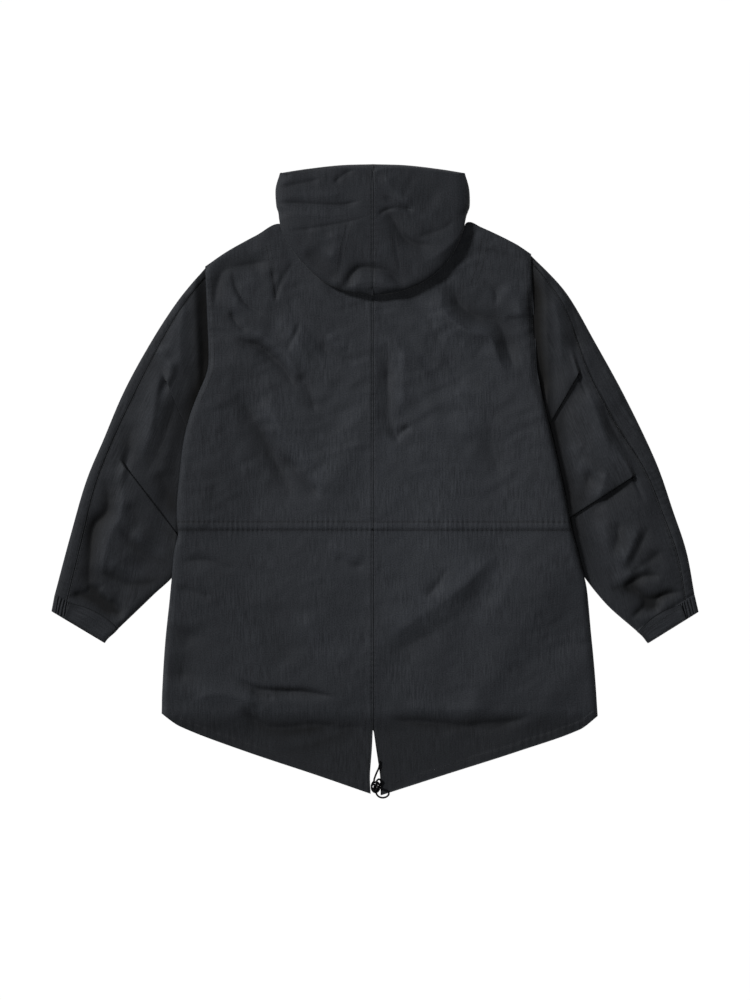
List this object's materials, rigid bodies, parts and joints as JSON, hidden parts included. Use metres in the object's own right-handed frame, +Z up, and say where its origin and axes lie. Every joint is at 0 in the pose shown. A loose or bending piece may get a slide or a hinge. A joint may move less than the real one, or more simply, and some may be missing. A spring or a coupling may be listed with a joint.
{
  "type": "parka",
  "caption": "Hooded hip-length parka laid flat face down, with long sleeves, gathered cuffs, a waist channel and a split fishtail hem with a drawcord.",
  "frame": {"origin": "on the surface that the coat lies on, under the middle of its overall width and length, measured without the drawcord", "axes": "+X to the right of the view from above, +Y from the hem towards the hood, +Z up from the surface, through the front and then the back"},
  "size_m": [1.0364, 1.0157, 0.033],
  "materials": {
    "shell": "matte near-black charcoal woven shell cloth with a faint upright rib",
    "hood": "the same cloth, a little darker where it is folded over the yoke",
    "cord": "black braided drawcord"
  },
  "bodies": {
    "root": {"back_left": "shell", "back_right": "shell", "front_left": "shell", "front_right": "shell", "front_placket": "shell", "sleeve_left_inner": "shell", "sleeve_left_outer": "shell", "sleeve_right_inner": "shell", "sleeve_right_outer": "shell", "cuff_left": "shell", "cuff_right": "shell", "cuff_tab_left": "shell", "cuff_tab_right": "shell", "hood_left": "hood", "hood_right": "hood", "hem_cord_strand": "cord", "hem_cord_loop": "cord", "hem_knot": "cord"}
  },
  "joints": []
}
